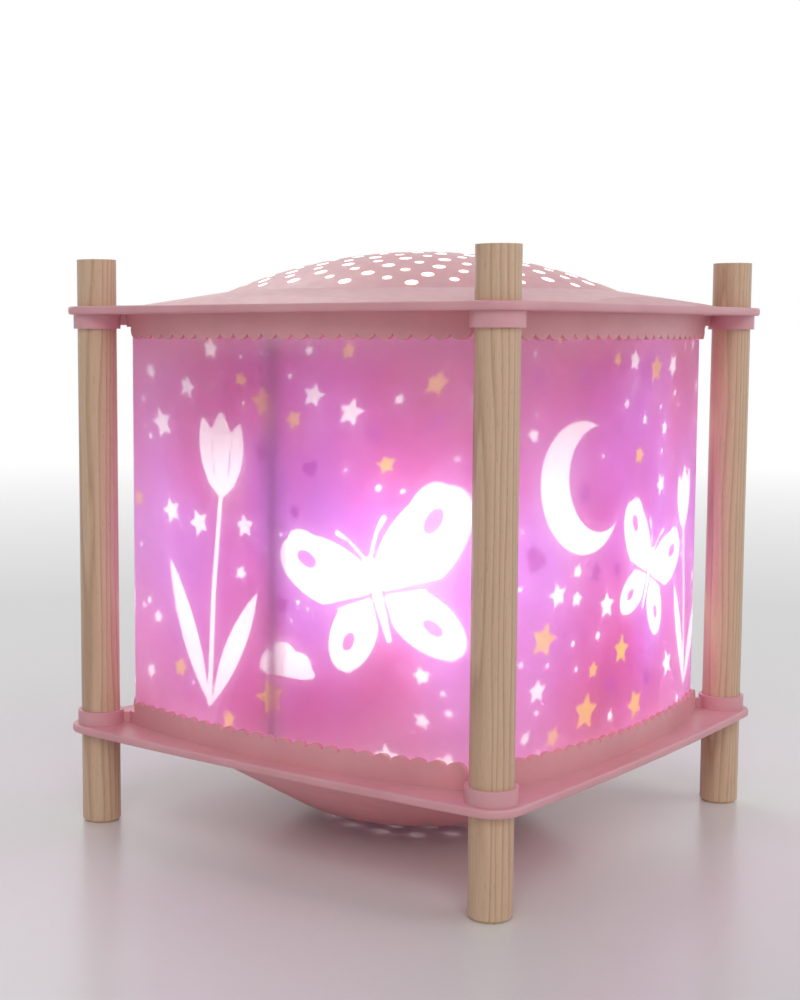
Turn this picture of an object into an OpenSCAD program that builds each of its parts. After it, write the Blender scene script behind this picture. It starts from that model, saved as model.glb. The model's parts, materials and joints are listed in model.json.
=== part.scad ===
// Rotating motion lamp: a square night light on four round wooden posts. Two moulded plates,
// each with a scalloped rim, hold a frosted film between them: the upper one is a shallow
// perforated dome, and the lower one a deeper bowl that carries the lamp holder. Inside,
// a printed drum hangs on a needle above the bulb and turns in the warm air that rises.
// Origin: on the table, under the middle of the lamp. +Z is up; the sides lie along X and Y.

/* [Posts] */
// Diameter of a wooden post
post_d = 13; // [11:0.5:14]
// Length of a post
post_h = 190; // [186:1:200]
// Distance between neighbouring post axes
post_pitch = 155; // [150:1:165]
// Height of the lower plate's underside above the table
leg_h = 31.2; // [28:0.2:34]
// Length of post that stands above the upper plate
post_head = 15.4; // [12:0.2:18]

/* [Plates] */
// How far a plate's side bows out past the post axes, at its middle
plate_bow = 11.5; // [11.5:0.5:16]
// Thickness of a plate
plate_t = 2.6; // [2.2:0.1:3]
// Radius of a plate's corner, about the post axis
corner_r = 9.5; // [9:0.5:11]
// Rise of the dome above the flat edge
dome_rise = 18.6; // [17.6:0.2:21]
// Radius of the perforated middle of the dome
dome_r = 66; // [60:1:68]
// Depth of the bowl below the flat edge
bowl_depth = 27.8; // [25:0.2:28.4]
// Radius of the bowl's mouth
bowl_r = 85.3; // [82:0.1:86]
// Height of a sleeve round a post
collar_h = 4.7; // [4:0.1:6]
// Diameter of the larger holes in the dome
vent_d = 4; // [3:0.1:4.2]
// Holes in the dome
vents = 160; // [100:10:180]

/* [Rim] */
// Height of the rim, to the tips of the scallops
rim_h = 8.1; // [7:0.1:10]
// Thickness of the rim
rim_t = 1.6; // [1.4:0.1:2]
// Scallops along one side
scallops = 23; // [19:2:27]

/* [Film and drum] */
// Thickness of the frosted outer film
film_t = 0.6; // [0.4:0.1:1]
// Radius of the turning drum
drum_r = 74.5; // [68:0.5:75]
// Thickness of the drum's printed film
drum_t = 0.4; // [0.3:0.1:0.6]
// Height of the drum's lower edge above the table
drum_z = 40; // [38:1:50]
// Vanes in the turbine
vanes = 12; // [8:1:16]

/* [Lamp] */
// Diameter of the bulb's glass
bulb_d = 45; // [35:1:50]
// Height of the bulb's centre above the table
bulb_z = 94; // [90:1:98]
// Diameter of the bracket's wire
wire_d = 2.4; // [2:0.1:3]

/* [Hidden] */
$fn = 96;
fine = 360;

half = post_pitch / 2;
top_z = post_h - post_head;
plate_mid = half + plate_bow;

// the rim: half-width at mid-side, place and radius of its corner arcs
rim_mid = half + 4.8;
rim_c = half - 13.3;
rim_r = 9;
scallop_r = 3.1;
scallop_end = 0.9;

// flats along one side and round one corner of the plates, the rims and the film
side_steps = 24;
corner_steps = 14;

// steps of a plate's edge: how far in, and share of the thickness
edge_steps = [[0, 0.5], [0.25, 0.78], [0.7, 1]];
rim_low = collar_h - 0.6;
web_t = 1.6;
web_h = collar_h - 1.2;

// sleeves round the posts: a glued one below, a sliding one above
collar_wall = 1.2;
glued_gap = 0.02;
slide_gap = 0.1;

// the dome: a ball cap over a conical skirt, its foot inside the corners
shoulder = 5;
skirt_r = half + 20.5;
cap_h = dome_rise - shoulder;
cap_r = (pow(dome_r, 2) + pow(cap_h, 2)) / (2 * cap_h);
bevel_slope = 0.45;
bevel_in = 1.3;
vent_edge = 3;
vent_small = 0.75;
golden_angle = 180 * (3 - sqrt(5));

// the film stands inside both rims with this gap
film_gap = 0.35;
film_lift = 0.05;
film_mid = rim_mid - rim_t - film_gap;
film_r = rim_r - rim_t - film_gap;

// the bowl: a conical side, a round turn and a flat bottom
bowl_angle = 30;
bowl_turn_r = 40;
bowl_flat_r = bowl_r - bowl_depth / tan(bowl_angle) - bowl_turn_r * tan(bowl_angle / 2);
bowl_low = leg_h - bowl_depth;

// inside of the bowl under the lamp
bowl_floor = bowl_low + plate_t;
pad_r = 17;
pad_z = bowl_floor + 5.3;
air_d = 5;
air_rings = [[21.5, 12], [29.8, 16]];

// the cord's inlet: a bush in the bowl's side, square to the wall, towards the back post
inlet_r = 62;
inlet_turn = 45;
seat_r = 7.5;
seat_out = 1;
seat_in = 3.5;
bush_r = 4.1;
bush_flange_r = 6.2;
bush_flange = 1.8;
bush_lip_r = 5.2;
bush_lip = 1.5;
cord_r = 2.7;

// the drum's parts, built up from the needle's tip
tip_z = 158.5;
sheet_z = tip_z + 1.8;
sheet_t = 0.6;
drum_top = sheet_z + 2;
vane_r = 44;
vane_root = 12;
vane_w = 16;
vane_root_w = 4;
vane_tilt = 28;
ring_lip = 4;
ring_wall = 0.8;
hoop_t = 1.5;
hoop_h = 3;
hub_r = 5.5;
hub_z = tip_z - 4.5;
hub_flange_r = 9;
hub_flange = 1.2;
stub_r = 2.5;
stub_h = 4;
nut_h = 2.4;
nut_r = 4.6;
cup_r = 3;
cup_z = tip_z - 3.5;
cup_top = tip_z + 1;
cup_gap = 0.05;
cup_flare = 0.7;

// the needle and the bracket that carries it over the bulb
needle_r = 0.8;
point_h = 2.2;
point_r = 0.08;
arch_z = tip_z - 13;
leg_x = 32;
bend_r = 12;
ferrule_r = 3.2;
ferrule_h = 8;
ferrule_drop = 3;
foot_x = leg_x + 6;
foot_r = 4;
foot_t = 1.6;
foot_edge = 0.5;
foot_z = bowl_low + 10.6;
foot_boss_h = 7.4;
screw_r = 1.5;
head_r = 2.8;
head_h = 1.6;
slot_w = 0.6;
slot_share = 0.6;
loose = 0.1;
pilot_h = 4;
bite = 3.5;
fit = 0.02;

// the lamp holder
base_r = 14;
base_h = 9;
base_screw_y = 9;
base_sink = 2.5;
term_in = 6;
term_len = 5.5;
holder_z = pad_z + base_h;
holder_top = bulb_z - 34;
holder_r = 12.5;
holder_bore = 8.2;
holder_floor = 3.6;
shell_t = 0.7;
shell_len = 22;
contact_r = 4;
contact_t = 0.6;
rivet_r = 1.2;

// the bulb
cap_len = 20;
cap_t = 0.4;
screw_cap_r = 6.9;
thread_r = 0.35;
thread_step = 2.8;
thread_ribs = 5;
neck_z = holder_top + 1;
cap_z = neck_z - cap_len;
tip_r = 2.2;
tip_h = 1.3;
plug_h = 2.5;
glass_t = 0.8;
neck_r = 6.3;
neck_in = 4;
neck_out = 2;
stem_h = 24;
stem_r = 1.8;
stem_foot_h = 9;
lead_r = 0.35;
lead_gap = 0.2;
lead_out = 1;
filament_r = 8;
filament_t = 0.5;

// ---- outlines -------------------------------------------------------------------------------

// A bowed square: each side is one arc, which runs on smoothly into the corner arcs.
function side_r(mid, c, r) = (r * r - c * c - pow(c - mid, 2)) / (2 * (c - mid + r));
function side_a(mid, c, r) = atan2(c, c + side_r(mid, c, r) - mid);
function side_end(mid, c, r) = c + r * sin(side_a(mid, c, r));

function quarter(p, k) = k == 0 ? p : quarter([-p[1], p[0]], k - 1);

module bowed_square(mid, c, r) {
    big = side_r(mid, c, r);
    a = side_a(mid, c, r);
    side = [for (i = [0:side_steps]) let (t = a * (2 * i / side_steps - 1))
        [mid - big + big * cos(t), big * sin(t)]];
    corner = [for (i = [1:corner_steps - 1]) let (t = a + (90 - 2 * a) * i / corner_steps)
        [c + r * cos(t), c + r * sin(t)]];
    polygon([for (k = [0:3], p = concat(side, corner)) quarter(p, k)]);
}

// Places the children at the four posts.
module at_posts() {
    for (k = [0:3]) rotate([0, 0, 90 * k]) translate([half, half, 0]) children();
}

// ---- plates ---------------------------------------------------------------------------------

// Solid form of the upper plate's raised middle: z = 0 is the flat edge's outer face.
module dome_form(below = 0) {
    big = side_r(plate_mid, half, corner_r) - bevel_in;
    roof = dome_rise + 1;
    intersection() {
        rotate_extrude($fn = fine) {
            polygon([[0, -below], [skirt_r, -below], [skirt_r, 0], [dome_r, shoulder], [0, shoulder]]);
            intersection() {
                translate([0, dome_rise - cap_r]) circle(cap_r, $fn = fine);
                square([dome_r, dome_rise + 1]);
            }
        }
        intersection_for (k = [0:3]) rotate([0, 0, 90 * k])
            translate([plate_mid - bevel_in - big, 0, 0])
            rotate_extrude($fn = fine)
                polygon([[0, -below], [big, -below], [big, 0], [big - roof / bevel_slope, roof],
                         [0, roof]]);
    }
}

// Solid form of the bowl, upside down like the dome.
module bowl_form(below = 0) {
    turn_end_r = bowl_flat_r + bowl_turn_r * sin(bowl_angle);
    turn_h = bowl_turn_r * (1 - cos(bowl_angle));
    side_h = bowl_depth - turn_h;
    rotate_extrude($fn = fine) {
        polygon([[0, -below], [bowl_r, -below], [bowl_r, 0], [turn_end_r, side_h], [0, side_h]]);
        translate([0, side_h]) square([bowl_flat_r, turn_h]);
        intersection() {
            translate([bowl_flat_r, bowl_depth - bowl_turn_r]) circle(bowl_turn_r, $fn = fine);
            translate([bowl_flat_r, side_h]) square([turn_end_r - bowl_flat_r, turn_h]);
        }
    }
}

// Flat edge of the plate, softened in small steps.
module edge_flange() {
    for (step = edge_steps) translate([0, 0, -plate_t * (1 + step[1]) / 2])
        linear_extrude(plate_t * step[1])
            bowed_square(plate_mid - step[0], half, corner_r - step[0]);
}

// Side view of one side's scallops, hanging down from y = 0.
module scallop_row() {
    reach = side_end(rim_mid, rim_c, rim_r) - scallop_end;
    step = 2 * reach / scallops;
    depth = scallop_r - sqrt(pow(scallop_r, 2) - pow(step / 2, 2));
    translate([-reach, depth - rim_h]) square([2 * reach, rim_h - depth]);
    for (i = [0:scallops - 1])
        translate([(i + 0.5) * step - reach, scallop_r - rim_h]) circle(scallop_r, $fn = 48);
}

// Rim that hangs from the plate: scalloped along the sides, low and plain round the corners.
module rim() {
    module wall(h) {
        translate([0, 0, -h]) linear_extrude(h) difference() {
            bowed_square(rim_mid, rim_c, rim_r);
            bowed_square(rim_mid - rim_t, rim_c, rim_r - rim_t);
        }
    }
    wall(rim_low);
    for (k = [0:3]) rotate([0, 0, 90 * k]) intersection() {
        wall(rim_h);
        translate([0, rim_mid + 1, 0]) rotate([90, 0, 0]) linear_extrude(rim_mid - rim_c + 2)
            scallop_row();
    }
    rim_tip = sqrt(2) * rim_c + rim_r;
    at_posts() rotate([0, 0, 45]) {
        web = sqrt(2) * half - rim_tip - post_d / 2 - glued_gap;
        translate([-post_d / 2 - web - rim_t / 2, -web_t / 2, -web_h])
            cube([web + rim_t / 2 - collar_wall / 2, web_t, web_h]);
    }
}

// One plate without its own fittings: outer face up, rim and sleeves down. Its first child is
// the solid form of its middle, and its second the same form reaching 1 mm lower.
module plate(bore_r) {
    difference() {
        union() {
            edge_flange();
            children(0);
            translate([0, 0, -plate_t]) {
                rim();
                at_posts() translate([0, 0, -collar_h])
                    cylinder(h = collar_h, r = bore_r + collar_wall);
            }
        }
        translate([0, 0, -plate_t]) intersection() {
            children(1);
            translate([0, 0, -1]) linear_extrude(bowl_depth + 2)
                bowed_square(rim_mid - rim_t, rim_c, rim_r - rim_t);
        }
        at_posts() translate([0, 0, -plate_t - collar_h - 1])
            cylinder(h = plate_t + collar_h + 2 + shoulder, r = bore_r);
    }
}

// Holes over the dome, large and small by turns, evenly spread along a sunflower's spiral.
module vent_holes() {
    for (i = [0:vents - 1])
        rotate([0, 0, i * golden_angle])
            translate([(dome_r - vent_edge) * sqrt((i + 0.5) / vents), 0, -plate_t])
                cylinder(h = dome_rise + plate_t + 1, d = i % 2 == 0 ? vent_d : vent_small * vent_d,
                         $fn = 24);
}

module top_plate() {
    color("pink") translate([0, 0, top_z]) difference() {
        plate(post_d / 2 + slide_gap) {
            dome_form();
            dome_form(below = 1);
        }
        vent_holes();
    }
}

// Places the children on the bowl's outer face at the cord's inlet, +z towards the inside.
module at_inlet() {
    rotate([0, 0, inlet_turn])
        translate([inlet_r, 0, leg_h - (bowl_r - inlet_r) * tan(bowl_angle)])
            rotate([0, -bowl_angle, 0]) children();
}

// Air holes in the bowl's bottom, in two rings round the lamp.
module air_holes() {
    for (ring = air_rings, i = [0:ring[1] - 1])
        rotate([0, 0, (i + 0.5) * 360 / ring[1]]) translate([ring[0], 0, 0])
            cylinder(h = foot_z, d = air_d, $fn = 24);
}

// Lower plate: the bowl, turned the right way up, with seats for the lamp's fittings.
module bottom_plate() {
    color("pink") difference() {
        union() {
            translate([0, 0, leg_h]) mirror([0, 0, 1]) plate(post_d / 2 + glued_gap) {
                bowl_form();
                bowl_form(below = 1);
            }
            translate([0, 0, bowl_floor - plate_t / 2])
                cylinder(h = pad_z - bowl_floor + plate_t / 2, r = pad_r);
            for (s = [-1, 1]) translate([s * foot_x, 0, foot_z - foot_boss_h])
                cylinder(h = foot_boss_h, r = foot_r);
            at_inlet() translate([0, 0, -seat_out]) cylinder(h = seat_out + seat_in, r = seat_r);
        }
        air_holes();
        for (s = [-1, 1]) {
            translate([s * foot_x, 0, foot_z - pilot_h]) cylinder(h = pilot_h + 1, r = screw_r);
            translate([0, s * base_screw_y, pad_z - pilot_h]) cylinder(h = pilot_h + 1, r = screw_r);
        }
        at_inlet() translate([0, 0, -seat_out - 1])
            cylinder(h = seat_out + seat_in + 2, r = bush_r + fit);
    }
}

// Rubber bush for the cord, held by its flange outside and its lip inside.
module cord_gland() {
    color("dimgray") at_inlet() difference() {
        union() {
            translate([0, 0, -seat_out - bush_flange]) cylinder(h = bush_flange, r = bush_flange_r);
            translate([0, 0, -seat_out - 0.1]) cylinder(h = seat_out + seat_in + 0.2, r = bush_r);
            translate([0, 0, seat_in]) cylinder(h = bush_lip, r = bush_lip_r);
        }
        translate([0, 0, -seat_out - bush_flange - 1])
            cylinder(h = seat_out + seat_in + bush_flange + bush_lip + 2, r = cord_r);
    }
}

// ---- posts and film -------------------------------------------------------------------------

// A turned post with softened ends.
module post(k) {
    soft = 1;
    color("tan") rotate([0, 0, 90 * k]) translate([-half, -half, 0]) rotate_extrude()
        difference() {
            square([post_d / 2, post_h]);
            for (s = [0, 1]) translate([post_d / 2, s * post_h]) rotate(s * -90)
                polygon([[-soft, 0], [0.01, -0.01], [0, soft]]);
        }
}
module post_front() post(0);
module post_right() post(1);
module post_back() post(2);
module post_left() post(3);

module outer_film() {
    low = leg_h + plate_t;
    color("orchid") translate([0, 0, low + film_lift])
        linear_extrude(top_z - plate_t - film_gap - low) difference() {
            bowed_square(film_mid, rim_c, film_r);
            bowed_square(film_mid - film_t, rim_c, film_r - film_t);
        }
}

// ---- turning drum ---------------------------------------------------------------------------

// Flat-sided ring between two radii.
module ring(z, h, r_in, r_out) {
    translate([0, 0, z]) rotate_extrude($fn = 180) translate([r_in, 0]) square([r_out - r_in, h]);
}

module drum_film() {
    color("hotpink") ring(drum_z, drum_top - drum_z, drum_r - drum_t, drum_r);
}

// Stiff hoop that keeps the drum's lower edge round.
module drum_hoop() {
    color("white") ring(drum_z, hoop_h, drum_r - drum_t - hoop_t, drum_r - drum_t);
}

// Angled ring that joins the film to the turbine sheet.
module drum_top_ring() {
    edge = drum_r - drum_t;
    color("white") {
        ring(sheet_z - ring_wall, drum_top - sheet_z + ring_wall, edge - ring_wall, edge);
        ring(sheet_z - ring_wall, ring_wall, edge - ring_lip, edge - ring_wall / 2);
    }
}

// Sheet wheel: a flat rim, a middle disc and vanes turned up out of the sheet.
module turbine() {
    edge = drum_r - drum_t - ring_wall;
    mid = sheet_z + sheet_t / 2;
    color("silver") difference() {
        union() {
            ring(sheet_z, sheet_t, vane_r, edge);
            translate([0, 0, sheet_z]) cylinder(h = sheet_t, r = vane_root + 1);
            intersection() {
                translate([0, 0, mid]) for (i = [0:vanes - 1]) rotate([0, 0, i * 360 / vanes])
                    rotate([vane_tilt, 0, 0]) translate([0, 0, -sheet_t / 2])
                        linear_extrude(sheet_t) polygon([
                            [vane_root, -vane_root_w / 2], [vane_r + 2, -vane_w / 2],
                            [vane_r + 2, vane_w / 2], [vane_root, vane_root_w / 2]]);
                translate([0, 0, mid - vane_w / 2]) cylinder(h = vane_w, r = vane_r + 0.4, $fn = 180);
            }
        }
        translate([0, 0, sheet_z - 1]) cylinder(h = sheet_t + 2, r = stub_r + fit);
    }
}

// Hub under the turbine sheet, with a stub through it and a pocket for the pivot cup.
module turbine_hub() {
    color("ivory") difference() {
        union() {
            translate([0, 0, hub_z]) cylinder(h = sheet_z - hub_z, r = hub_r);
            translate([0, 0, sheet_z - hub_flange]) cylinder(h = hub_flange, r = hub_flange_r);
            translate([0, 0, sheet_z]) cylinder(h = stub_h, r = stub_r);
        }
        translate([0, 0, hub_z - 1]) cylinder(h = cup_top - hub_z + 1, r = cup_r);
    }
}

module hub_nut() {
    color("ivory") translate([0, 0, sheet_z + sheet_t]) difference() {
        cylinder(h = nut_h, r = nut_r, $fn = 6);
        translate([0, 0, -1]) cylinder(h = nut_h + 2, r = stub_r + fit);
    }
}

// Cup with a conical seat, which rides on the needle's point.
module pivot_cup() {
    apex = tip_z + cup_gap;
    color("gold") difference() {
        translate([0, 0, cup_z]) cylinder(h = cup_top - cup_z, r = cup_r);
        translate([0, 0, cup_z - 1])
            cylinder(h = apex - cup_z + 1, r1 = (apex - cup_z + 1) * cup_flare, r2 = 0);
    }
}

// ---- needle and bracket ---------------------------------------------------------------------

module needle() {
    low = arch_z + wire_d / 2 + fit;
    color("silver") rotate_extrude()
        polygon([[0, low], [needle_r, low], [needle_r, tip_z - point_h], [point_r, tip_z], [0, tip_z]]);
}

// Turned boss on the crown of the bracket, which grips the needle.
module needle_ferrule() {
    color("gold") difference() {
        translate([0, 0, arch_z - ferrule_drop]) cylinder(h = ferrule_h, r = ferrule_r);
        translate([-ferrule_r - 1, 0, arch_z]) rotate([0, 90, 0])
            cylinder(h = 2 * ferrule_r + 2, r = wire_d / 2 + fit);
        translate([0, 0, arch_z]) cylinder(h = ferrule_h, r = needle_r + fit);
    }
}

// Bent wire over the bulb: two legs, two bends, a straight crown and two flat feet.
module needle_bracket() {
    color("silver") difference() {
        union() {
            translate([bend_r - leg_x, 0, arch_z]) rotate([0, 90, 0])
                cylinder(h = 2 * (leg_x - bend_r), d = wire_d, $fn = 32);
            for (s = [0, 1]) rotate([0, 0, 180 * s]) {
                translate([leg_x - bend_r, 0, arch_z - bend_r]) rotate([90, 0, 0])
                    rotate_extrude(angle = 90) translate([bend_r, 0]) circle(d = wire_d, $fn = 32);
                translate([leg_x, 0, foot_z + foot_t / 2])
                    cylinder(h = arch_z - bend_r - foot_z - foot_t / 2, d = wire_d, $fn = 32);
                translate([foot_x, 0, foot_z]) cylinder(h = foot_t, r = foot_r - foot_edge);
                translate([leg_x - wire_d, -wire_d, foot_z])
                    cube([foot_x - leg_x + wire_d, 2 * wire_d, foot_t]);
            }
        }
        for (s = [-1, 1]) translate([s * foot_x, 0, foot_z - 1])
            cylinder(h = foot_t + 2, r = screw_r + loose);
    }
}

// Pan-head screw pointing down, its head's underside at z = 0.
module pan_screw(len) {
    difference() {
        union() {
            cylinder(h = head_h, r = head_r);
            translate([0, 0, -len]) cylinder(h = len, r = screw_r - fit);
        }
        for (turn = [0, 90]) rotate([0, 0, turn])
            translate([-head_r * slot_share, -slot_w / 2, head_h / 2])
                cube([head_r * 2 * slot_share, slot_w, head_h]);
    }
}

module bracket_screws() {
    color("gray") for (s = [-1, 1]) translate([s * foot_x, 0, foot_z + foot_t])
        pan_screw(foot_t + bite);
}

// ---- lamp holder ----------------------------------------------------------------------------

module holder_base() {
    color("white") difference() {
        translate([0, 0, pad_z]) cylinder(h = base_h, r = base_r);
        for (s = [-1, 1]) {
            translate([0, s * base_screw_y, pad_z - 1])
                cylinder(h = base_h + 2, r = screw_r + loose);
            translate([0, s * base_screw_y, pad_z + base_sink])
                cylinder(h = base_h, r = head_r + 2 * loose);
            translate([s * (base_r - term_in), 0, pad_z + base_h / 2]) rotate([0, s * 90, 0])
                cylinder(h = term_in + 2, r = screw_r);
        }
    }
}

module holder_screws() {
    color("gray") for (s = [-1, 1]) translate([0, s * base_screw_y, pad_z + base_sink])
        pan_screw(base_sink + bite);
}

// Clamping screws for the two wires, in the sides of the base.
module terminal_screws() {
    color("gold") for (s = [-1, 1]) translate([s * base_r, 0, pad_z + base_h / 2])
        rotate([0, s * 90, 0]) pan_screw(term_len);
}

module holder_body() {
    color("white") difference() {
        translate([0, 0, holder_z]) cylinder(h = holder_top - holder_z, r = holder_r);
        translate([0, 0, holder_z + holder_floor])
            cylinder(h = holder_top - holder_z, r = holder_bore);
        translate([0, 0, holder_z - 1]) cylinder(h = holder_floor + 2, r = rivet_r + fit);
    }
}

module holder_shell() {
    color("gold") ring(holder_top - shell_len, shell_len - 1, holder_bore - fit - shell_t,
                       holder_bore - fit);
}

// Spring contact under the bulb's tip.
module holder_contact() {
    top = cap_z - plug_h - tip_h;
    color("gold") {
        translate([0, 0, holder_z]) cylinder(h = top - holder_z - contact_t, r = rivet_r);
        translate([0, 0, top - contact_t]) cylinder(h = contact_t, r = contact_r);
    }
}

// ---- bulb -----------------------------------------------------------------------------------

// Screw cap; its thread is drawn as plain ribs.
module bulb_cap() {
    color("silver") translate([0, 0, cap_z]) rotate_extrude() {
        translate([screw_cap_r - cap_t, 0]) square([cap_t, cap_len]);
        translate([tip_r, 0]) square([screw_cap_r - tip_r, cap_t]);
        for (i = [1:thread_ribs]) translate([screw_cap_r - thread_r / 2, i * thread_step])
            circle(thread_r, $fn = 24);
    }
}

module bulb_insulator() {
    color("black") translate([0, 0, cap_z - plug_h])
        cylinder(h = plug_h, r1 = tip_r + 1, r2 = screw_cap_r - 1);
}

module bulb_tip() {
    color("gray") translate([0, 0, cap_z - plug_h - tip_h]) cylinder(h = tip_h, r = tip_r);
}

// Round bulb that narrows to its neck along a cone.
module bulb_glass() {
    module outline(t) {
        reach = (bulb_d / 2 - t) * sqrt(0.5);
        translate([0, bulb_z]) intersection() {
            circle(bulb_d / 2 - t);
            translate([0, -reach]) square([bulb_d, bulb_d]);
        }
        polygon([[0, neck_z - neck_in], [neck_r - t, neck_z - neck_in], [neck_r - t, neck_z + neck_out],
                 [reach, bulb_z - reach], [0, bulb_z - reach]]);
    }
    color("white", 0.3) rotate_extrude() difference() {
        outline(0);
        outline(glass_t);
        translate([0, neck_z - neck_in - 1]) square([neck_r - glass_t, 2]);
    }
}

module bulb_stem() {
    color("white", 0.5) translate([0, 0, neck_z - neck_in]) {
        cylinder(h = stem_foot_h, r1 = neck_r - glass_t - fit, r2 = stem_r + 0.2);
        cylinder(h = stem_h, r = stem_r);
    }
}

// Two leads and two supports that fan out from the stem to the filament.
module bulb_leads() {
    stem_top = neck_z - neck_in + stem_h + lead_gap;
    rise = bulb_z - stem_top - filament_t;
    spread = filament_r - lead_out - lead_gap;
    color("silver") for (turn = [0, 60, 120, 180]) rotate([0, 0, turn])
        translate([lead_out, 0, stem_top])
            rotate([0, atan2(spread, rise), 0])
                cylinder(h = norm([spread, rise]), r = lead_r, $fn = 16);
}

module bulb_filament() {
    color("orange") translate([0, 0, bulb_z]) rotate_extrude(angle = 180)
        translate([filament_r, 0]) circle(filament_t, $fn = 16);
}

bottom_plate();
top_plate();
post_front();
post_right();
post_back();
post_left();
outer_film();
drum_film();
drum_top_ring();
drum_hoop();
turbine();
turbine_hub();
pivot_cup();
hub_nut();
needle();
needle_ferrule();
needle_bracket();
bracket_screws();
holder_base();
holder_body();
holder_shell();
holder_contact();
holder_screws();
terminal_screws();
bulb_cap();
bulb_insulator();
bulb_tip();
bulb_glass();
bulb_stem();
bulb_leads();
bulb_filament();
cord_gland();
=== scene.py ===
"""Looks of a rotating motion lamp: posts of light wood, rose plates, a frosted film on which a
turning printed drum throws its picture, and the lamp that lights and drives it.

Lengths are worked out in millimetres, in the CAD frame, and turned into metres when a mesh is made.
"""

import json
import math

import bpy
import numpy as np
from mathutils import Matrix, Vector


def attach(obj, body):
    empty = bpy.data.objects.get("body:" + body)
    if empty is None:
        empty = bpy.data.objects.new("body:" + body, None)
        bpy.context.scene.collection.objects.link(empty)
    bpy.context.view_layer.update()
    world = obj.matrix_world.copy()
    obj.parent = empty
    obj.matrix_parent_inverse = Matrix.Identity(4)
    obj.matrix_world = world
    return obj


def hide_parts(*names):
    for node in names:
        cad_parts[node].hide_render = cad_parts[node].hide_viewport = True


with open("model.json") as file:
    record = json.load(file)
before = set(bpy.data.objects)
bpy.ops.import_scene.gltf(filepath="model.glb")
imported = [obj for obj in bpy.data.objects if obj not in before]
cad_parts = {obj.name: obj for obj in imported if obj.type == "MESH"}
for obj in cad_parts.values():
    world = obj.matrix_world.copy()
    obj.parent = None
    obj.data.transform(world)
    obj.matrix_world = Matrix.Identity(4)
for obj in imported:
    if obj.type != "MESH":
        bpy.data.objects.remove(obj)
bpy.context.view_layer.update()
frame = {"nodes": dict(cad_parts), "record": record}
nodes = frame["nodes"]

MM = 0.001

# the lamp's own sizes, as the CAD source has them
HALF = 77.5  # from the lamp's axis to a post's, along a side
LEG_H = 31.2  # underside of the lower plate's edge
TOP_Z = 174.6  # upper face of the upper plate's edge
PLATE_T = 2.6
PLATE_MID = HALF + 11.5  # from the axis to the middle of a plate's bowed side
CORNER_R = 9.5
DOME_R = 66.0
RIM_MID = HALF + 4.8
RIM_C = HALF - 13.3
RIM_R = 9.0
RIM_T = 1.6
FILM_GAP = 0.35
FILM_T = 0.6
DRUM_R = 74.5
DRUM_T = 0.4
DRUM_LOW = 40.0
DRUM_TOP = 162.3
GLOW_Z = 88.0  # middle of the bulb's light: its holder shades the air holes from there

# how fine the meshes are, in points
CORNER_N = 24
LIP_N = 17
FILM_M = 12
DRUM_N, DRUM_M = 600, 148
CRISP = math.radians(40)  # faces that meet at more than this keep a sharp edge

WHITE, BLACK = (1.0, 1.0, 1.0), (0.0, 0.0, 0.0)


# ---- surfaces -------------------------------------------------------------------------------


def bowed_outline(mid, c, r, side_n=48):
    """Outline of a square with bowed sides and round corners, anticlockwise.

    Each side is an arc of radius R whose centre lies on the side's own axis at mid - R, and each
    corner an arc of radius r about (c, c). R makes the two arcs tangent. Gives the arcs' centres,
    radii and outward directions, so that a curve parallel to the outline is centre +
    (radius - inset) * direction.
    """
    big = (r * r - c * c - (c - mid) ** 2) / (2 * (c - mid + r))
    a = math.atan2(c, c + big - mid)
    t_side = np.linspace(-a, a, side_n, endpoint=False)
    t_corner = np.linspace(a, math.pi / 2 - a, CORNER_N, endpoint=False)
    t = np.concatenate([t_side, t_corner])
    centre = np.concatenate([np.tile([mid - big, 0.0], (side_n, 1)), np.tile([c, c], (CORNER_N, 1))])
    radius = np.concatenate([np.full(side_n, big), np.full(CORNER_N, r)])
    direction = np.stack([np.cos(t), np.sin(t)], 1)
    sides = []
    for quarter in range(4):
        cos, sin = math.cos(quarter * math.pi / 2), math.sin(quarter * math.pi / 2)
        turn = np.array([[cos, sin], [-sin, cos]])
        sides.append((centre @ turn, radius, direction @ turn))
    return tuple(np.concatenate(part) for part in zip(*sides))


def carry(outline, profile):
    """Grid of points, centre + (radius - inset) * direction, for each (inset, z) of the profile."""
    centre, radius, direction = outline
    inset, z = np.asarray(profile, float).T
    xy = centre[:, None, :] + (radius[:, None] - inset)[:, :, None] * direction[:, None, :]
    return np.concatenate([xy, np.broadcast_to(z[None, :, None], xy.shape[:2] + (1,))], 2)


def revolve(profile, n):
    """Grid of points, (radius * cos t, radius * sin t, z), for each (radius, z) of the profile."""
    rad, z = np.asarray(profile, float).T
    t = np.linspace(0, 2 * math.pi, n, endpoint=False)
    return np.stack([np.cos(t)[:, None] * rad, np.sin(t)[:, None] * rad,
                     np.broadcast_to(z, (n, len(z)))], 2)


def new_object(name, grid, quads, material):
    """Object from a grid of points in millimetres, and the faces that join them."""
    mesh = bpy.data.meshes.new(name)
    mesh.from_pydata((grid.reshape(-1, 3) * MM).tolist(), [], quads.reshape(-1, 4).tolist())
    mesh.materials.append(material)
    obj = bpy.data.objects.new(name, mesh)
    bpy.context.scene.collection.objects.link(obj)
    return obj


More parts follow.
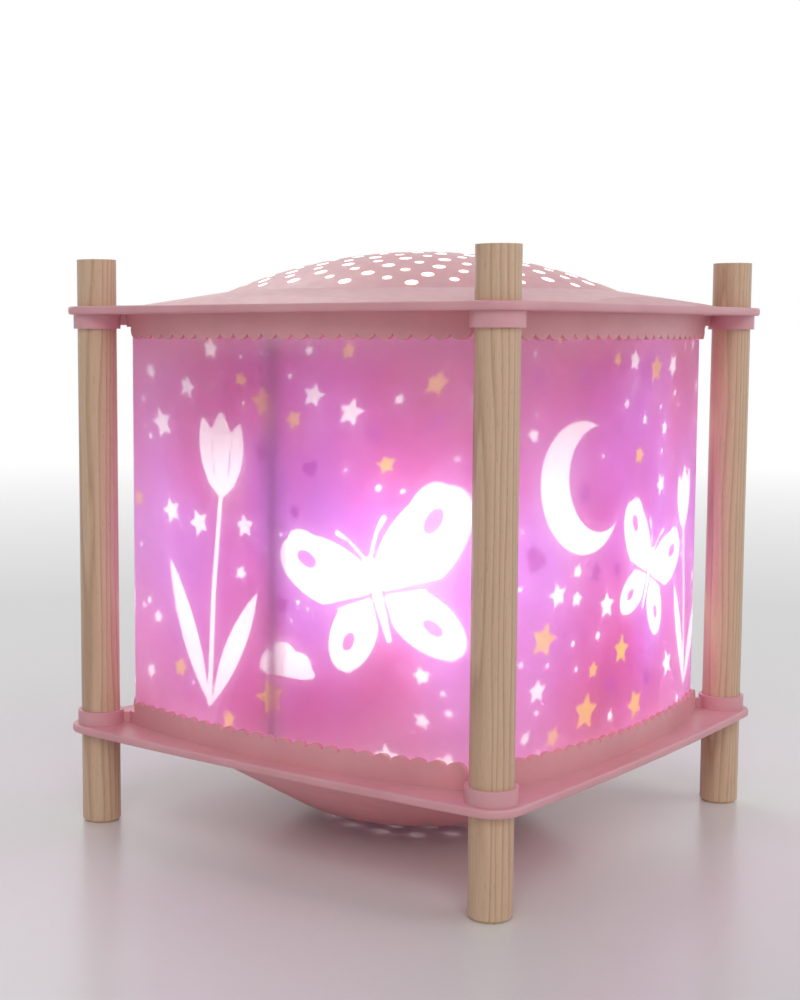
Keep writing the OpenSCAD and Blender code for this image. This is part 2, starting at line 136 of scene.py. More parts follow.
def piece(name, grid, material, body, fields=None):
    """Closed surface from a grid whose two directions both come round to their start.

    A face joins the points (i, j), (i + 1, j), (i + 1, j + 1) and (i, j + 1). fields are values per
    grid point, kept as attributes of the mesh.
    """
    n, m = grid.shape[:2]
    i, j = np.arange(n)[:, None], np.arange(m)[None, :]
    i2, j2 = (i + 1) % n, (j + 1) % m
    quads = np.stack([i * m + j, i2 * m + j, i2 * m + j2, i * m + j2], 2)
    obj = new_object(name, grid, quads, material)
    obj.data.shade_smooth()
    obj.data.set_sharp_from_angle(angle=CRISP)
    for key, values in (fields or {}).items():
        layer = obj.data.attributes.new(key, "FLOAT", "POINT")
        layer.data.foreach_set("value", np.asarray(values, np.float32).ravel())
    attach(obj, body)
    return obj


# ---- the drum's picture: distances to shapes, in millimetres on the unrolled drum ------------------


def turned(x, y, cx, cy, turn):
    """Places about (cx, cy) on axes turned by so many degrees: a plain rotation."""
    t = math.radians(turn)
    dx, dy = x - cx, y - cy
    return dx * math.cos(t) + dy * math.sin(t), dy * math.cos(t) - dx * math.sin(t)


def disc(x, y, cx, cy, r):
    """Distance to a disc: length from its centre less its radius."""
    return np.hypot(x - cx, y - cy) - r


def oval(x, y, cx, cy, a, b, turn=0.0):
    """Distance to an ellipse, near enough: (k - 1) * k / |gradient|, k being the scaled radius."""
    u, v = turned(x, y, cx, cy, turn)
    k = np.hypot(u / a, v / b) + 1e-9
    return k * (k - 1) / (np.hypot(u / a ** 2, v / b ** 2) + 1e-9)


def leaf(x, y, cx, cy, length, width, turn):
    """Distance to a pointed leaf: the overlap of two discs whose rims meet at its ends."""
    u, v = turned(x, y, cx, cy, turn)
    h, w = length / 2, width / 2
    r = (h * h + w * w) / (2 * w)
    return np.maximum(np.hypot(u, v - (r - w)), np.hypot(u, v + (r - w))) - r


def stroke(x, y, p, q, r0, r1):
    """Distance to a tapering line from p to q: distance to the segment less the radius there."""
    p, q = np.asarray(p, float), np.asarray(q, float)
    d = q - p
    s = np.clip(((x - p[0]) * d[0] + (y - p[1]) * d[1]) / (d @ d), 0, 1)
    return np.hypot(x - p[0] - s * d[0], y - p[1] - s * d[1]) - (r0 + (r1 - r0) * s)


def star(x, y, cx, cy, r, turn):
    """Distance to a star: in one folded half-sector, the distance to the line from tip to notch."""
    half, waist = math.pi / 5, 0.45
    a = np.arctan2(x - cx, y - cy) - math.radians(turn)
    a = np.abs((a + half) % (2 * half) - half)
    rad = np.hypot(x - cx, y - cy)
    u, v = rad * np.cos(a), rad * np.sin(a)
    tip = np.array([r, 0.0])
    notch = np.array([waist * r * math.cos(half), waist * r * math.sin(half)])
    d = notch - tip
    out = np.array([-d[1], d[0]]) / np.hypot(*d)
    if out @ -tip > 0:
        out = -out
    return (u - tip[0]) * out[0] + (v - tip[1]) * out[1]


def heart(x, y, cx, cy, w, turn):
    """Distance to a heart: two discs over a quarter-turned square."""
    u, v = turned(x, y, cx, cy, turn)
    k = w / 4
    lobes = np.minimum(disc(u, v, -k, k * 0.55, k * 1.28), disc(u, v, k, k * 0.55, k * 1.28))
    box = (np.abs(u) + np.abs(v + 0.35 * k)) / math.sqrt(2) - k * 1.42
    return np.minimum(lobes, box)


def dot(x, y, cx, cy, r, turn):
    """Distance to a dot, a disc that looks the same however it is turned."""
    return disc(x, y, cx, cy, r)


def join(*shapes):
    """Shapes together: the least of their distances."""
    return np.minimum.reduce(shapes)


def less(shape, *holes):
    """A shape with others cut out of it: the greatest of its distance and theirs turned round."""
    return np.maximum.reduce([shape] + [-h for h in holes])


def butterfly(x, y, cx, cy, size, turn):
    """Butterfly with open wings: ovals for the wings, with spots cut out, and a thin body."""
    u, v = turned(x, y, cx, cy, turn)
    u, v = u / size, v / size
    m = np.abs(u)
    fore = join(oval(m, v, 0.30, 0.22, 0.34, 0.19, 38), oval(m, v, 0.40, 0.36, 0.16, 0.12, 60))
    hind = join(oval(m, v, 0.21, -0.17, 0.24, 0.14, -52), disc(m, v, 0.30, -0.34, 0.045))
    wings = less(join(fore, hind), oval(m, v, 0.40, 0.32, 0.075, 0.045, 45),
                 oval(m, v, 0.25, -0.21, 0.06, 0.035, -50),
                 stroke(m, v, (0.05, 0.02), (0.55, 0.0), 0.012, 0.03))
    body = join(stroke(u, v, (0, 0.17), (0, -0.24), 0.032, 0.014), disc(u, v, 0, 0.2, 0.035))
    feelers = join(stroke(m, v, (0.01, 0.22), (0.09, 0.36), 0.008, 0.008),
                   stroke(m, v, (0.09, 0.36), (0.15, 0.42), 0.008, 0.016))
    return join(np.maximum(wings, 0.045 - m), body, feelers) * size


def tulip(x, y, cx, foot, h, lean):
    """Tall flower: a bent stem, two long leaves and a veined cup of three petals on a round foot."""
    mid = (cx + lean * 0.35, foot + 0.38 * h)
    head = hx, hy = cx + lean, foot + 0.74 * h
    stem = join(stroke(x, y, (cx, foot), mid, 0.011 * h, 0.010 * h),
                stroke(x, y, mid, head, 0.010 * h, 0.009 * h))
    leaves = join(leaf(x, y, cx - 0.10 * h, foot + 0.24 * h, 0.52 * h, 0.075 * h, 112),
                  leaf(x, y, cx + 0.12 * h, foot + 0.20 * h, 0.46 * h, 0.08 * h, 62))
    cup = join(leaf(x, y, hx, hy + 0.12 * h, 0.29 * h, 0.12 * h, 90),
               leaf(x, y, hx - 0.050 * h, hy + 0.105 * h, 0.27 * h, 0.095 * h, 107),
               leaf(x, y, hx + 0.050 * h, hy + 0.105 * h, 0.27 * h, 0.095 * h, 73),
               oval(x, y, hx, hy + 0.045 * h, 0.070 * h, 0.055 * h))
    veins = [stroke(x, y, (hx + side * 0.035 * h, hy + 0.05 * h),
                    (hx + side * 0.045 * h, hy + 0.17 * h), 0.004 * h, 0.002 * h)
             for side in (-1, 1)]
    return join(stem, leaves, less(cup, *veins))


def moon(x, y, cx, cy, r, turn):
    """Crescent: one disc less another."""
    t = math.radians(turn)
    bite = disc(x, y, cx + 0.42 * r * math.cos(t), cy + 0.42 * r * math.sin(t), 0.82 * r)
    return less(disc(x, y, cx, cy, r), bite)


def cloud(x, y, cx, cy, w):
    """Small cloud: a row of discs on a flat foot."""
    k = w / 2
    puffs = join(disc(x, y, cx - 0.55 * k, cy, 0.32 * k),
                 disc(x, y, cx - 0.1 * k, cy + 0.16 * k, 0.45 * k),
                 disc(x, y, cx + 0.42 * k, cy + 0.04 * k, 0.36 * k),
                 oval(x, y, cx, cy - 0.12 * k, 0.9 * k, 0.22 * k))
    return np.maximum(puffs, (cy - 0.3 * k) - y)


# The picture's large figures, which are clear film: each row is a maker, the place in degrees round
# the drum, and what the maker takes after it, from the height on.
FIGURES = [
    (tulip, 161, 52, 84, 5), (butterfly, 206, 88, 46, 16), (cloud, 184, 66, 22),
    (moon, 251, 116, 18, 20), (butterfly, 279, 88, 38, -22), (tulip, 305, 54, 62, -4),
    (tulip, 341, 50, 84, -5), (butterfly, 12, 104, 40, 12), (cloud, 38, 68, 24),
    (moon, 66, 118, 18, 160), (butterfly, 92, 84, 44, -18), (tulip, 124, 54, 70, 6),
]
# The small ones between them: colour, number, least and most size, maker, and room left round each.
STREWN = [
    ("yellow", 20, (4.8, 6.2), star, 1.6), ("white", 30, (3.4, 4.6), star, 1.6),
    ("yellow", 30, (2.6, 3.6), star, 1.6), ("white", 64, (1.8, 2.8), star, 1.4),
    ("rose", 34, (2.4, 4.4), star, 1.4), ("rose", 12, (4.6, 6.5), heart, 1.5),
    ("white", 110, (0.45, 0.9), dot, 0.9),
]
STREWN_LOW, STREWN_TOP, TRIES = 47, 157, 4000
FAR = 9.0  # distance kept where no shape is near


def drum_picture(n, m):
    """Distances to the white, yellow and rose shapes on a grid of the unrolled drum.

    A length along the drum is radius * angle, and goes the short way round. A small figure is kept
    where it is clear of the large ones and of the small ones before it.
    """
    girth = 2 * math.pi * DRUM_R
    s = np.arange(n)[:, None] * (girth / n) * np.ones((1, m))
    z = np.linspace(DRUM_LOW, DRUM_TOP, m)[None, :] * np.ones((n, 1))

    def short_way(length):
        """A length along the drum, from minus half its girth to plus half."""
        return (length + girth / 2) % girth - girth / 2

    def near(deg):
        """Length along the drum from a place given in degrees."""
        return short_way(s - math.radians(deg) * DRUM_R)

    fields = {key: np.full((n, m), FAR) for key in ("white", "yellow", "rose")}
    for maker, deg, *rest in FIGURES:
        fields["white"] = np.minimum(fields["white"], maker(near(deg), z, 0.0, *rest))
    large = fields["white"]

    rng = np.random.default_rng(11)
    placed = []
    for key, count, sizes, maker, room in STREWN:
        done = 0
        for _ in range(TRIES):
            if done == count:
                break
            deg, height = rng.uniform(0, 360), rng.uniform(STREWN_LOW, STREWN_TOP)
            size, turn = rng.uniform(*sizes), rng.uniform(-30, 30)
            i = int(deg / 360 * n) % n
            j = int((height - DRUM_LOW) / (DRUM_TOP - DRUM_LOW) * (m - 1))
            along = math.radians(deg) * DRUM_R
            if large[i, j] < size + room or any(
                    math.hypot(short_way(along - a), height - h) < size + other + room
                    for a, h, other in placed):
                continue
            placed.append((along, height, size))
            fields[key] = np.minimum(fields[key], maker(near(deg), z, 0.0, height, size, turn))
            done += 1
    return fields


# ---- materials ------------------------------------------------------------------------------


class Wiring:
    """The nodes of a material or of the world, and short ways to add to them."""

    def __init__(self, owner, output):
        self.owner = owner
        owner.use_nodes = True
        self.tree = owner.node_tree
        self.tree.nodes.clear()
        self.out = self.tree.nodes.new("ShaderNode" + output)

    def add(self, kind, values=None, **settings):
        """New node: values go on its sockets, settings on the node itself."""
        made = self.tree.nodes.new("ShaderNode" + kind)
        for key, value in settings.items():
            setattr(made, key, value)
        for key, value in (values or {}).items():
            self.put(made.inputs[key], value)
        return made

    def put(self, socket, value):
        """Links a socket to what is given, or sets it."""
        if isinstance(value, bpy.types.NodeSocket):
            self.tree.links.new(value, socket)
        elif socket.type == "RGBA":
            socket.default_value = (*value, 1.0)
        else:
            socket.default_value = value

    def finish(self, shader):
        """Puts a shader on the output, and gives back the material or world."""
        self.put(self.out.inputs["Surface"], shader.outputs[0])
        return self.owner

    def mix(self, share, first, second):
        """Shader that is the first at share 0 and the second at share 1."""
        return self.add("MixShader", {0: share, 1: first.outputs[0], 2: second.outputs[0]})

    def place(self, scale=(1, 1, 1), location=(0, 0, 0)):
        """Object coordinates in millimetres, moved and then scaled."""
        return self.add("Mapping", {
            "Vector": self.add("TexCoord").outputs["Object"], "Scale": [1000 * v for v in scale],
            "Location": [-l * v for l, v in zip(location, scale)]}).outputs["Vector"]

    def part(self, vector, axis):
        """One of a vector's three numbers."""
        return self.add("SeparateXYZ", {"Vector": vector}).outputs[axis]

    def length(self, vector):
        """Length of a vector."""
        return self.add("VectorMath", {0: vector}, operation="LENGTH").outputs["Value"]

    def from_axis(self, vector):
        """Distance of a place from the axis: the length of the vector with its height left out."""
        return self.length(self.add("CombineXYZ", {
            "X": self.part(vector, 0), "Y": self.part(vector, 1)}).outputs[0])

    def noise(self, vector, scale, detail=3.0, rough=0.5, twist=0.0):
        """Cloudy noise about 0.5: scale is its waves in a unit of the vector."""
        return self.add("TexNoise", {"Vector": vector, "Scale": scale, "Detail": detail,
                                     "Roughness": rough, "Distortion": twist}).outputs["Fac"]

    def ramp(self, factor, stops):
        """Colour that goes from stop to stop, each a place and a colour."""
        made = self.add("ValToRGB", {"Fac": factor})
        steps = made.color_ramp.elements
        while len(steps) < len(stops):
            steps.new(0.5)
        for step, (at, colour) in zip(steps, stops):
            step.position = at
            step.color = (*colour, 1.0)
        return made.outputs["Color"]

    def span(self, value, a, b, lo=0.0, hi=1.0):
        """Straight line from lo at value a to hi at value b, and level outside them."""
        return self.add("MapRange", {"Value": value, "From Min": a, "From Max": b,
                                     "To Min": lo, "To Max": hi}).outputs["Result"]

    def blend(self, factor, a, b):
        """Colour that is a at factor 0 and b at factor 1."""
        return self.add("Mix", {0: factor, 6: a, 7: b}, data_type="RGBA").outputs[2]

    def bump(self, height, strength, distance):
        """Normal of a surface raised by the height times a distance in millimetres."""
        return self.add("Bump", {"Height": height, "Strength": strength,
                                 "Distance": distance * MM}).outputs["Normal"]

    def calc(self, how, *values):
        """Plain calculation with one or two values."""
        return self.add("Math", dict(enumerate(values)), operation=how).outputs[0]

    def looked_at(self):
        """1 for a ray from the camera, a gloss or a clear thing, 0 for light that falls on things."""
        path = self.add("LightPath").outputs
        return self.calc("MAXIMUM", self.calc("MAXIMUM", path["Is Camera Ray"], path["Is Glossy Ray"]),
                         path["Is Transmission Ray"])


def finish_called(name):
    """The nodes of a new material."""
    return Wiring(bpy.data.materials.new(name), "OutputMaterial")


def rose_plastic(name, dome=False):
    """Satin moulded plastic: faint clouding, fine mould texture, a little light passing through it.

    The walls of the dome's holes carry a painted glow, an emission that stands in for the bulb's
    light on them: they are the upright faces inside the dome's radius and above the plate's edge.
    """
    f = finish_called(name)
    at = f.place()
    colour = f.ramp(f.noise(at, 0.035), [(0.3, (0.70, 0.335, 0.375)), (0.7, (0.78, 0.40, 0.435))])
    fine = f.noise(at, 2.2, 4.0, 0.6)
    rough = f.span(f.noise(at, 0.25, 4.0), 0.3, 0.7, 0.32, 0.44)
    shader = f.add("BsdfPrincipled", {
        "Base Color": colour, "Roughness": rough, "IOR": 1.49, "Subsurface Weight": 0.25,
        "Subsurface Radius": (0.004, 0.0016, 0.0016), "Subsurface Scale": 1.0,
        "Normal": f.bump(fine, 0.12, 0.05)})
    if dome:
        inside = f.span(f.from_axis(at), DOME_R, DOME_R - 0.5)
        above = f.span(f.part(at, 2), TOP_Z - 1.0, TOP_Z)
        facing_up = f.calc("ABSOLUTE", f.part(f.add("NewGeometry").outputs["True Normal"], 2))
        upright = f.span(facing_up, 0.35, 0.25)
        # painted glow: emission on the upright hole walls, standing in for the bulb's light on them
        shine = f.calc("MULTIPLY", f.calc("MULTIPLY", inside, above), upright)
        f.put(shader.inputs["Emission Color"], (1.0, 0.93, 0.86))
        f.put(shader.inputs["Emission Strength"], f.calc("MULTIPLY", shine, 1.8))
    return f.finish(shader)


def post_wood(name, x, y, seed):
    """Turned light wood: growth rings across, drawn out along the post, with fine pores.

    A ring is the fraction left of 0.55 * distance + 5 * noise, where the distance is from a pith
    that lies beside the post's axis (x, y), and it darkens towards its late side.
    """
    f = finish_called(name)
    pith = f.place((1, 1, 0.06), (x + 11 + 3 * seed, y - 9 + 2 * seed, 40 * seed))
    rings = f.calc("ADD", f.calc("MULTIPLY", f.from_axis(pith), 0.55),
                   f.calc("MULTIPLY", f.noise(pith, 0.09, 2.0), 5.0))
    late = f.ramp(f.calc("FRACT", rings),
                  [(0.0, BLACK), (0.55, (0.25, 0.25, 0.25)), (0.86, WHITE), (1.0, BLACK)])
    streak = f.noise(f.place((1, 1, 0.035), (x, y, 17 * seed)), 1.6, 5.0, 0.65)
    pores = f.span(f.noise(f.place((1, 1, 0.09), (x, y, 3 * seed)), 3.6, 2.0), 0.62, 0.70)
    wood = f.ramp(f.calc("ADD", f.calc("MULTIPLY", late, 0.45), f.calc("MULTIPLY", streak, 0.55)),
                  [(0.18, (0.70, 0.49, 0.335)), (0.5, (0.60, 0.395, 0.255)),
                   (0.85, (0.46, 0.28, 0.17))])
    shader = f.add("BsdfPrincipled", {
        "Base Color": f.blend(f.calc("MULTIPLY", pores, 0.35), wood, (0.30, 0.17, 0.10)),
        "Roughness": f.span(streak, 0.3, 0.7, 0.36, 0.50), "IOR": 1.5,
        "Coat Weight": 0.25, "Coat Roughness": 0.3,
        "Normal": f.bump(f.calc("SUBTRACT", streak, f.calc("MULTIPLY", pores, 0.6)), 0.25, 0.08)})
    return f.finish(shader)


def outer_face_only(f, sheet):
    """A sheet's shader where the attribute outer_face is 1, and clear where it is 0."""
    clear = f.add("BsdfTransparent", {"Color": WHITE})
    return f.mix(f.add("Attribute", attribute_name="outer_face").outputs["Fac"], clear, sheet)


def frosted_film():
    """Frosted sheet: its outer face takes the light that comes through the drum and scatters it on.

    Most is scattered evenly, and some goes on near the way that it came, so that the sheet is
    brightest in front of the bulb. In the light from outside it has a rosy cast, which is a
    painted glow: a pink and violet colour on its outer face that stands in for the print's light
    showing through. The inner face lets light pass, so that the sheet scatters it once.
    """
    onward_share, body_share = 0.16, 0.30
    f = finish_called("frosted film")
    at = f.place()
    tint = f.ramp(f.noise(at, 0.05), [(0.35, (0.90, 0.89, 0.92)), (0.65, (0.96, 0.95, 0.97))])
    grain = f.bump(f.noise(at, 3.5, 3.0, 0.6), 0.10, 0.04)
    scattered = f.add("BsdfTranslucent", {"Color": tint, "Normal": grain})
    from_bulb = f.add("VectorMath", {0: f.add("TexCoord").outputs["Object"], 1: (0, 0, GLOW_Z * MM)},
                      operation="SUBTRACT").outputs[0]
    away = f.add("VectorMath", {0: from_bulb}, operation="NORMALIZE").outputs[0]
    onward = f.add("BsdfRefraction", {"Color": tint, "Roughness": 1.0, "IOR": 1.45, "Normal": away})
    # painted glow: this pink and violet base colour stands in for the print's light showing through the
    # sheet
    painted_print_glow = f.ramp(f.noise(at, 0.022, 2.0), [(0.4, (0.80, 0.34, 0.62)), (0.6, (0.72, 0.36, 0.76))])
    body = f.add("BsdfPrincipled", {"Base Color": painted_print_glow, "Roughness": 0.42, "IOR": 1.45,
                                    "Normal": grain})
    return f.finish(outer_face_only(f, f.mix(body_share, f.mix(onward_share, scattered, onward), body)))


def printed_film():
    """Clear sheet with a translucent print: soft pink and violet clouds, with clear and tinted shapes.

    The ground's colour follows 0.9 * noise + 0.28 * nearness to the drum's middle height.
    """
    middle_z, paint_share = 98.0, 0.14
    f = finish_called("printed film")
    drift = f.noise(f.place((1, 1, 0.5)), 0.022, 2.0, 0.5, 0.5)
    off_middle = f.calc("ABSOLUTE", f.calc("SUBTRACT", f.part(f.place(), 2), middle_z))
    middle = f.span(off_middle, 62.0, 0.0)
    ink = f.ramp(f.calc("ADD", f.calc("MULTIPLY", drift, 0.9), f.calc("MULTIPLY", middle, 0.28)),
                 [(0.42, (0.32, 0.014, 0.12)), (0.52, (0.38, 0.034, 0.20)),
                  (0.62, (0.42, 0.062, 0.31)), (0.76, (0.40, 0.110, 0.48))])
    edge = 0.15
    for key, inner, outer, most, colour in (
            ("white", 0.0, 3.5, 0.16, (0.70, 0.36, 0.75)),  # a faint halo round the clear shapes
            ("rose", -edge, edge, 1.0, (0.27, 0.015, 0.27)),
            ("yellow", -edge, edge, 1.0, (0.66, 0.43, 0.025)),
            ("white", -edge, edge, 1.0, (0.98, 0.98, 0.98))):
        distance = f.add("Attribute", attribute_name=key).outputs["Fac"]
        ink = f.blend(f.span(distance, outer, inner, 0.0, most), ink, colour)
    through = f.add("BsdfTransparent", {"Color": ink})
    paint = f.add("BsdfPrincipled", {"Base Color": ink, "Roughness": 0.35, "IOR": 1.5})
    return f.finish(outer_face_only(f, f.mix(paint_share, through, paint)))


def plain_plastic(name, colour, rough, fleck=0.0):
    """Moulded plastic with faint clouding and a fine grain; fleck darkens small specks."""
    f = finish_called(name)
    at = f.place()
    shade = f.ramp(f.noise(at, 0.09), [(0.35, tuple(0.93 * c for c in colour)), (0.65, colour)])
    if fleck:
        specks = f.span(f.noise(at, 1.4, 1.0), 0.68, 0.72, 0.0, fleck)
        shade = f.blend(specks, shade, tuple(0.55 * c for c in colour))
    uneven = f.span(f.noise(at, 0.5), 0.3, 0.7, rough - 0.05, rough + 0.06)
    return f.finish(f.add("BsdfPrincipled", {
        "Base Color": shade, "Roughness": uneven, "IOR": 1.5,
        "Normal": f.bump(f.noise(at, 1.8, 3.0, 0.6), 0.12, 0.04)}))


def metal(name, colour, rough, along=(1, 1, 1)):
    """Metal with fine drawn or turned lines: noise stretched along the tool's way."""
    f = finish_called(name)
    lines = f.noise(f.place(along), 3.0, 4.0, 0.6)
    dull = tuple(0.88 * c for c in colour)
    return f.finish(f.add("BsdfPrincipled", {
        "Base Color": f.ramp(f.noise(f.place(), 0.12), [(0.35, dull), (0.65, colour)]),
        "Metallic": 1.0, "Roughness": f.span(lines, 0.3, 0.7, rough - 0.08, rough + 0.10),
        "Normal": f.bump(lines, 0.15, 0.03)}))


def lamp_glass():
    """Thin clear glass: it lets light pass, tints it a little, and shines at its edges."""
    f = finish_called("lamp glass")
    tint = f.ramp(f.noise(f.place(), 0.08), [(0.3, (0.965, 0.97, 0.965)), (0.7, (0.99, 0.99, 0.985))])
    shine = f.add("BsdfGlossy", {"Color": WHITE, "Roughness": 0.03})
    return f.finish(f.mix(f.add("Fresnel", {"IOR": 1.45}).outputs[0],
                          f.add("BsdfTransparent", {"Color": tint}), shine))


def hot_wire():
    """Lit filament: a coiled wire, brighter on the coils' crowns."""
    f = finish_called("hot wire")
    coils = f.add("TexWave", {"Vector": f.place(), "Scale": 0.9, "Distortion": 0.0},
                  bands_direction="DIAGONAL").outputs["Fac"]
    glow = f.ramp(coils, [(0.0, (1.0, 0.42, 0.12)), (1.0, (1.0, 0.80, 0.50))])
    return f.finish(f.add("Emission", {"Color": glow, "Strength": 6.0}))


# ---- pieces ---------------------------------------------------------------------------------

# a finish for each material slot of the CAD nodes, but the woods, which go by the post
finishes = {
    "rose_plastic": rose_plastic("rose plastic"),
    "white_plastic": plain_plastic("white plastic", (0.84, 0.83, 0.80), 0.42),
    "turbine_sheet": metal("turbine sheet", (0.86, 0.86, 0.87), 0.30, (1, 0.05, 1)),
    "hub_plastic": plain_plastic("hub plastic", (0.83, 0.80, 0.70), 0.32),
    "brass": metal("brass", (0.80, 0.58, 0.27), 0.28, (1, 1, 0.2)),
    "bright_steel": metal("bright steel", (0.62, 0.62, 0.64), 0.27, (1, 1, 0.05)),
    "screw_steel": metal("screw steel", (0.56, 0.57, 0.60), 0.33),
    "holder_plastic": plain_plastic("holder plastic", (0.85, 0.83, 0.78), 0.30, 0.4),
    "cap_metal": metal("cap metal", (0.74, 0.72, 0.68), 0.30, (0.2, 0.2, 1)),
    "cap_insulator": plain_plastic("cap insulator", (0.02, 0.02, 0.022), 0.15),
    "solder": metal("solder", (0.55, 0.55, 0.56), 0.40),
    "bulb_glass": lamp_glass(),
    "filament": hot_wire(),
    "gland_rubber": plain_plastic("gland rubber", (0.055, 0.05, 0.055), 0.62),
}
POSTS = {"post_front": (-1, -1), "post_right": (1, -1), "post_back": (1, 1), "post_left": (-1, 1)}


def dress(node, material):
    """Gives a CAD node a material in place of the plain one that it came with."""
    worn = nodes[node].data.materials
    worn.clear()
    worn.append(material)


for row in frame["record"]["subparts"]:
    if row["material_slot"] in finishes:
        dress(row["node"], finishes[row["material_slot"]])
for seed, (post, (side_x, side_y)) in enumerate(POSTS.items(), 1):
    dress(post, post_wood("wood of " + post, side_x * HALF, side_y * HALF, seed))
# the dome's plastic carries a painted glow on the walls of its holes
dress("top_plate", rose_plastic("rose plastic of the dome", dome=True))


def plate_lip(name, mid_z, body):
    """Rounded edge over the steps of a plate's edge: inset and height run along a rounded corner.

    It is the power curve |1 - inset / lip| ** 3 + |2 height / thickness| ** 3 = 1, a little larger
    than the edge that it covers, and closed inside the flange.
    """
    lip, clear, power, root = 1.0, 0.04, 2 / 3, 0.4
    t = np.linspace(-math.pi / 2, math.pi / 2, LIP_N)
    inset = lip - (lip + clear) * np.cos(t) ** power
    z = (PLATE_T / 2 + clear) * np.sign(np.sin(t)) * np.abs(np.sin(t)) ** power
    profile = [(a, mid_z + b) for a, b in zip(inset, z)]
    profile += [(2 * lip, mid_z + root), (2 * lip, mid_z - root)]
    grid = carry(bowed_outline(PLATE_MID, HALF, CORNER_R), profile)
    return piece(name, grid, finishes["rose_plastic"], body)


plate_lip("lower_lip", LEG_H + PLATE_T / 2, "body")
plate_lip("upper_lip", TOP_Z - PLATE_T / 2, "cover")

# the frosted film, a closed sheet whose outer face alone scatters
RAISED = 0.05  # clear of the lower plate's face
heights = np.linspace(LEG_H + PLATE_T + RAISED, TOP_Z - PLATE_T - FILM_GAP + RAISED, FILM_M)
wall = [(0.0, z) for z in heights] + [(FILM_T, z) for z in heights[::-1]]
film_line = bowed_outline(RIM_MID - RIM_T - FILM_GAP, RIM_C, RIM_R - RIM_T - FILM_GAP, 64)
film_grid = carry(film_line, wall)
film_outer = np.zeros(film_grid.shape[:2])
film_outer[:, :FILM_M] = 1.0
film = piece("film_screen", film_grid, frosted_film(), "body",
             fields={"outer_face": film_outer})
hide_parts("outer_film")

# the printed drum, with its picture kept as distances on a fine grid of its outer face
drum_wall = [(DRUM_R, z) for z in np.linspace(DRUM_LOW, DRUM_TOP, DRUM_M)]
drum_wall += [(DRUM_R - DRUM_T, DRUM_TOP), (DRUM_R - DRUM_T, DRUM_LOW)]
bare = np.full((DRUM_N, 2), FAR)
drum_fields = {key: np.concatenate([distance, bare], 1)
               for key, distance in drum_picture(DRUM_N, DRUM_M).items()}
drum_fields["outer_face"] = np.concatenate([np.ones((DRUM_N, DRUM_M)), np.zeros((DRUM_N, 2))], 1)
drum = piece("drum_print", revolve(drum_wall, DRUM_N), printed_film(), "drum",
             fields=drum_fields)
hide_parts("drum_film")


# ---- floor, light and camera ------------------------------------------------------------------


def floor_finish():
    """Pale satin surface which turns plain white away from the lamp, so that no horizon shows."""
    f = finish_called("pale floor")
    far = f.span(f.length(f.add("TexCoord").outputs["Object"]), 0.5, 1.6)
    near = f.add("BsdfPrincipled", {"Base Color": (0.86, 0.85, 0.86), "Roughness": 0.26, "IOR": 1.45})
    white = f.add("Emission", {"Color": WHITE, "Strength": 1.0})
    return f.finish(f.mix(f.calc("MULTIPLY", far, f.looked_at()), near, white))


def floor(spokes=96, rings=12, reach=8000, drop=0.02):
    """Flat disc on the table plane: rings of points whose radius grows evenly."""
    t = np.linspace(0, 2 * math.pi, spokes, endpoint=False)
    rad = np.linspace(0.001, reach, rings)
    grid = np.stack([np.cos(t)[:, None] * rad, np.sin(t)[:, None] * rad,
                     np.full((spokes, rings), -drop)], 2)
    i, j = np.arange(spokes)[:, None], np.arange(rings - 1)[None, :]
    i2 = (i + 1) % spokes
    quads = np.stack([i * rings + j, i * rings + j + 1, i2 * rings + j + 1, i2 * rings + j], 2)
    new_object("floor", grid, quads, floor_finish())


def soft_light(name, place, size, power):
    """Square area light at a place in metres, turned towards the lamp's middle."""
    data = bpy.data.lights.new(name, "AREA")
    data.shape, data.size, data.energy = "SQUARE", size, power
    obj = bpy.data.objects.new(name, data)
    obj.location = place
    obj.rotation_euler = (Vector((0, 0, 0.1)) - Vector(place)).to_track_quat("-Z", "Y").to_euler()
    bpy.context.scene.collection.objects.link(obj)


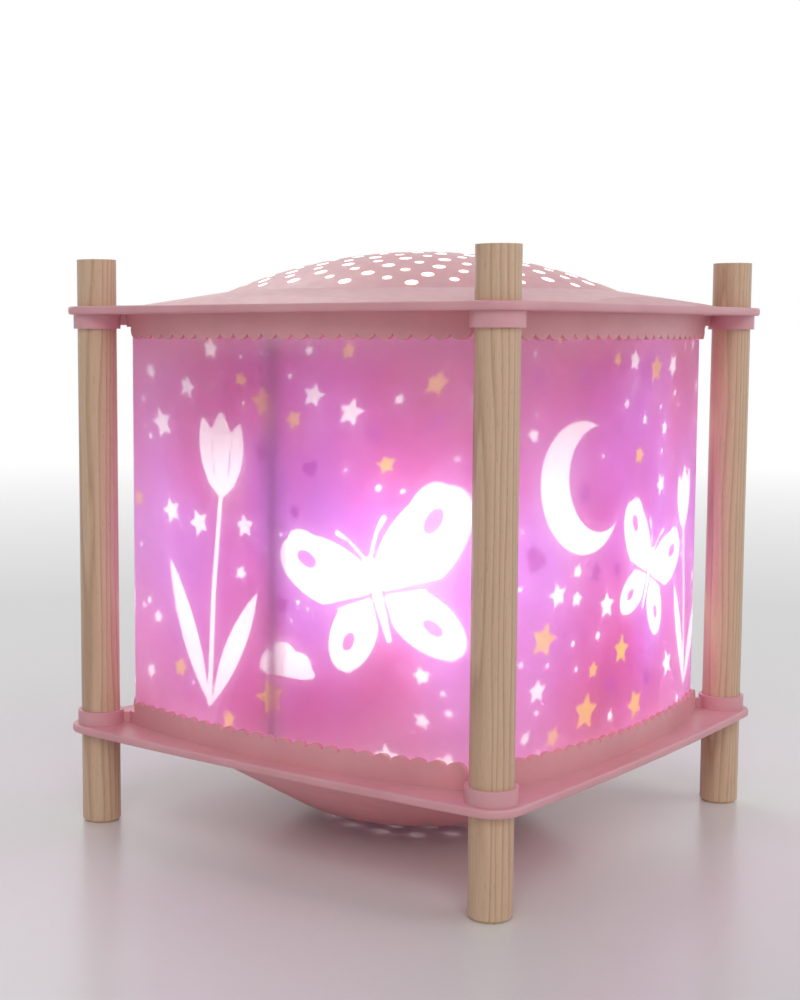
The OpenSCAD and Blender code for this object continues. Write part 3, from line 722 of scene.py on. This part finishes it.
def bulb_light():
    """The bulb's light: a small ball about the filament."""
    data = bpy.data.lights.new("bulb light", "POINT")
    data.energy, data.shadow_soft_size, data.color = 0.57, 0.0024, (1.0, 0.985, 0.96)
    obj = bpy.data.objects.new("bulb light", data)
    obj.location = (0, 0, GLOW_Z * MM)
    bpy.context.scene.collection.objects.link(obj)


def studio():
    """White surroundings: dim where their light falls on things, plain white where looked at."""
    f = Wiring(bpy.data.worlds.new("studio"), "OutputWorld")
    strength = f.span(f.looked_at(), 0.0, 1.0, 0.32, 1.0)
    bpy.context.scene.world = f.finish(f.add("Background", {"Color": WHITE, "Strength": strength}))


def photo_camera():
    """Camera fitted to the eight post ends in the photograph.

    ahead, right and up are its axes, from yaw and pitch, and roll turns right and up about ahead.
    """
    yaw, pitch, roll = math.radians(51.28), math.radians(5.67), math.radians(0.04)
    place, focal, frame_height, film_size = (-0.472, -0.317, 0.165), 1654, 1000, 36
    ahead = Vector((math.sin(yaw) * math.cos(pitch), math.cos(yaw) * math.cos(pitch),
                    -math.sin(pitch)))
    right = Vector((math.cos(yaw), -math.sin(yaw), 0))
    up = right.cross(ahead)
    right, up = (math.cos(roll) * right + math.sin(roll) * up,
                 math.cos(roll) * up - math.sin(roll) * right)
    lens = bpy.data.cameras.new("camera")
    lens.sensor_fit, lens.sensor_width = "AUTO", film_size
    lens.lens = focal / frame_height * film_size
    lens.shift_x = 0.12
    lens.clip_start, lens.clip_end = 0.01, 50
    camera = bpy.data.objects.new("camera", lens)
    camera.matrix_world = Matrix([(right[k], up[k], -ahead[k], place[k]) for k in range(3)]
                                 + [(0, 0, 0, 1)])
    bpy.context.scene.collection.objects.link(camera)
    bpy.context.scene.camera = camera


floor()
soft_light("key light", (-1.6, -1.2, 1.5), 1.4, 17)
soft_light("fill light", (0.9, -1.9, 1.0), 1.6, 8)
soft_light("back light", (0.8, 1.6, 1.7), 1.4, 9)
bulb_light()
studio()
photo_camera()
bpy.context.scene.view_settings.view_transform = "Standard"
